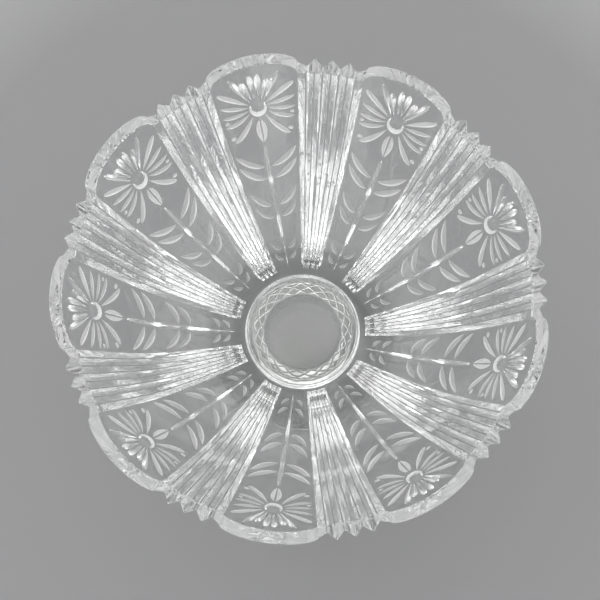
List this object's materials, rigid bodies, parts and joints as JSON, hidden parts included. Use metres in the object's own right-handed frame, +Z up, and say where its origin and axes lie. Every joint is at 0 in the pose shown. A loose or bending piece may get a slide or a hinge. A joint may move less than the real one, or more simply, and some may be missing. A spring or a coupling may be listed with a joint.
{
  "type": "pedestal fruit bowl",
  "caption": "Clear pressed-glass fruit bowl with a scalloped, fluted wall, bonded to a solid diamond-cut pedestal; stands on a table and holds fruit.",
  "frame": {"origin": "on the bowl's axis, at the foot's flat underside", "axes": "+Z up along the bowl's axis; the middle of one plain arched panel faces -Y, and +X is to the right seen from there"},
  "size_m": [0.2484, 0.2483, 0.1823],
  "materials": {
    "clear_glass": "fire-polished, colourless",
    "clear_bond": "cured clear adhesive"
  },
  "bodies": {
    "root": {"bowl": "clear_glass", "bond_film": "clear_bond", "pedestal": "clear_glass"}
  },
  "joints": []
}
